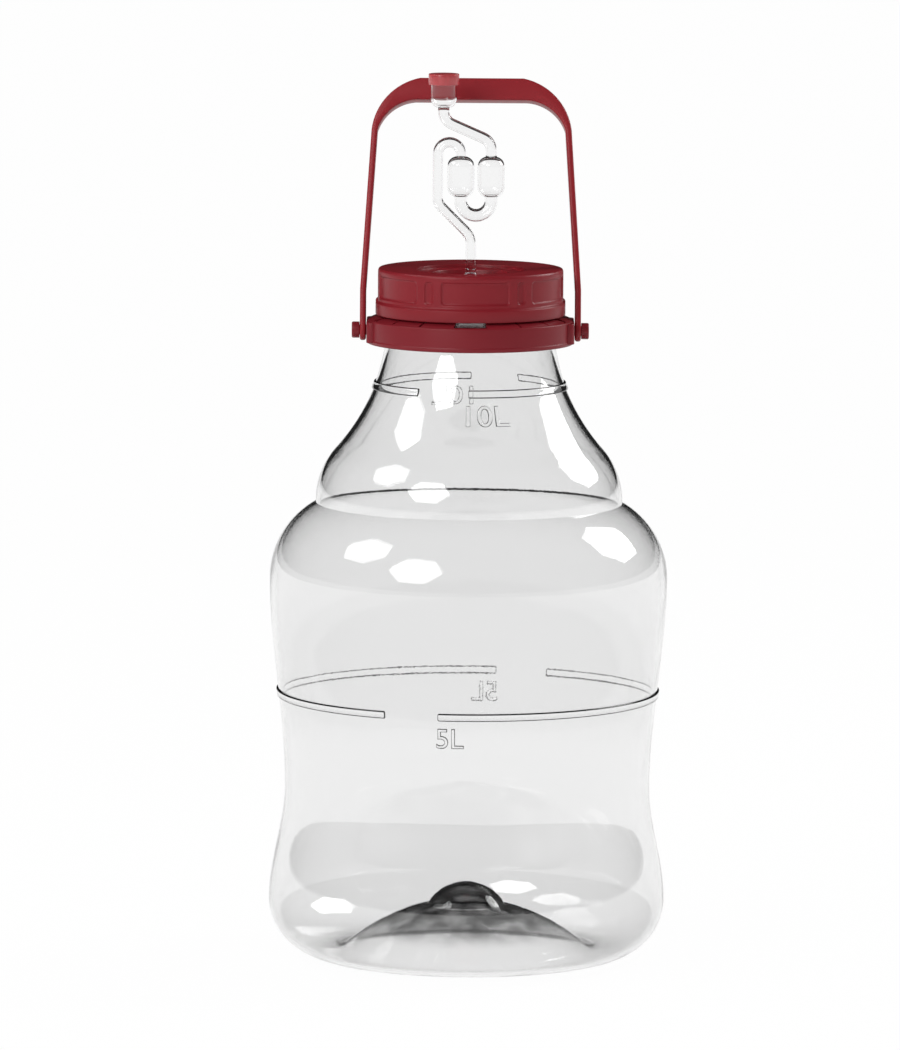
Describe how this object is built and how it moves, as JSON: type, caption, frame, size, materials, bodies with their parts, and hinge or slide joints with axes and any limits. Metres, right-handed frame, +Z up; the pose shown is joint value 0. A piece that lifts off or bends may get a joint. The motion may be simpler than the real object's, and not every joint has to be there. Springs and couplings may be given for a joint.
{
  "type": "fermentation jar with airlock",
  "caption": "Clear wide-neck fermentation jar with screw lid, soft bung, S-shaped airlock and a swing-up carrying handle on a neck ring.",
  "frame": {"origin": "centre of the jar's flat contact ring, on the table", "axes": "+Z up along the jar's axis, -Y towards the front, X along the handle's pivots"},
  "size_m": [0.2272, 0.2272, 0.5058],
  "materials": {
    "clear_pet": "gloss",
    "red_plastic": "satin",
    "seal_foam": "matte",
    "soft_white": "satin",
    "clear_styrene": "gloss",
    "cap_red": "satin"
  },
  "bodies": {
    "jar_body": {"jar": "clear_pet", "carry_ring": "red_plastic", "pivot_pin_left": "red_plastic", "pivot_pin_right": "red_plastic"},
    "handle_bow": {"handle": "red_plastic"},
    "seal": {"lid_seal": "seal_foam"},
    "screw_lid": {"lid": "red_plastic", "bung": "soft_white"},
    "airlock": {"airlock_tube": "clear_styrene", "airlock_cup": "clear_styrene"},
    "cap": {"airlock_cap": "cap_red"}
  },
  "joints": [
    {"name": "handle_swing", "type": "hinge", "parent": "jar_body", "child": "handle_bow", "pos_m": [0, 0, 0.3594], "axis": [-1, 0, 0], "range_deg": [0, 115]},
    {"name": "lid_lift", "type": "slide", "parent": "jar_body", "child": "seal", "axis": [0, 0, 1], "range_m": [0, 0.048]},
    {"name": "lid_turn", "type": "hinge", "parent": "seal", "child": "screw_lid", "pos_m": [0, 0, 0.3917], "axis": [0, 0, 1], "range_deg": [0, 720]},
    {"name": "airlock_lift", "type": "slide", "parent": "screw_lid", "child": "airlock", "axis": [0, 0, 1], "range_m": [0, 0.035]},
    {"name": "airlock_cap_lift", "type": "slide", "parent": "airlock", "child": "cap", "axis": [0, 0, 1], "range_m": [0, 0.014]}
  ],
  "couplings": [
    {"joint": "lid_lift", "follows": "lid_turn", "m_per_rad": 0.0038197}
  ]
}
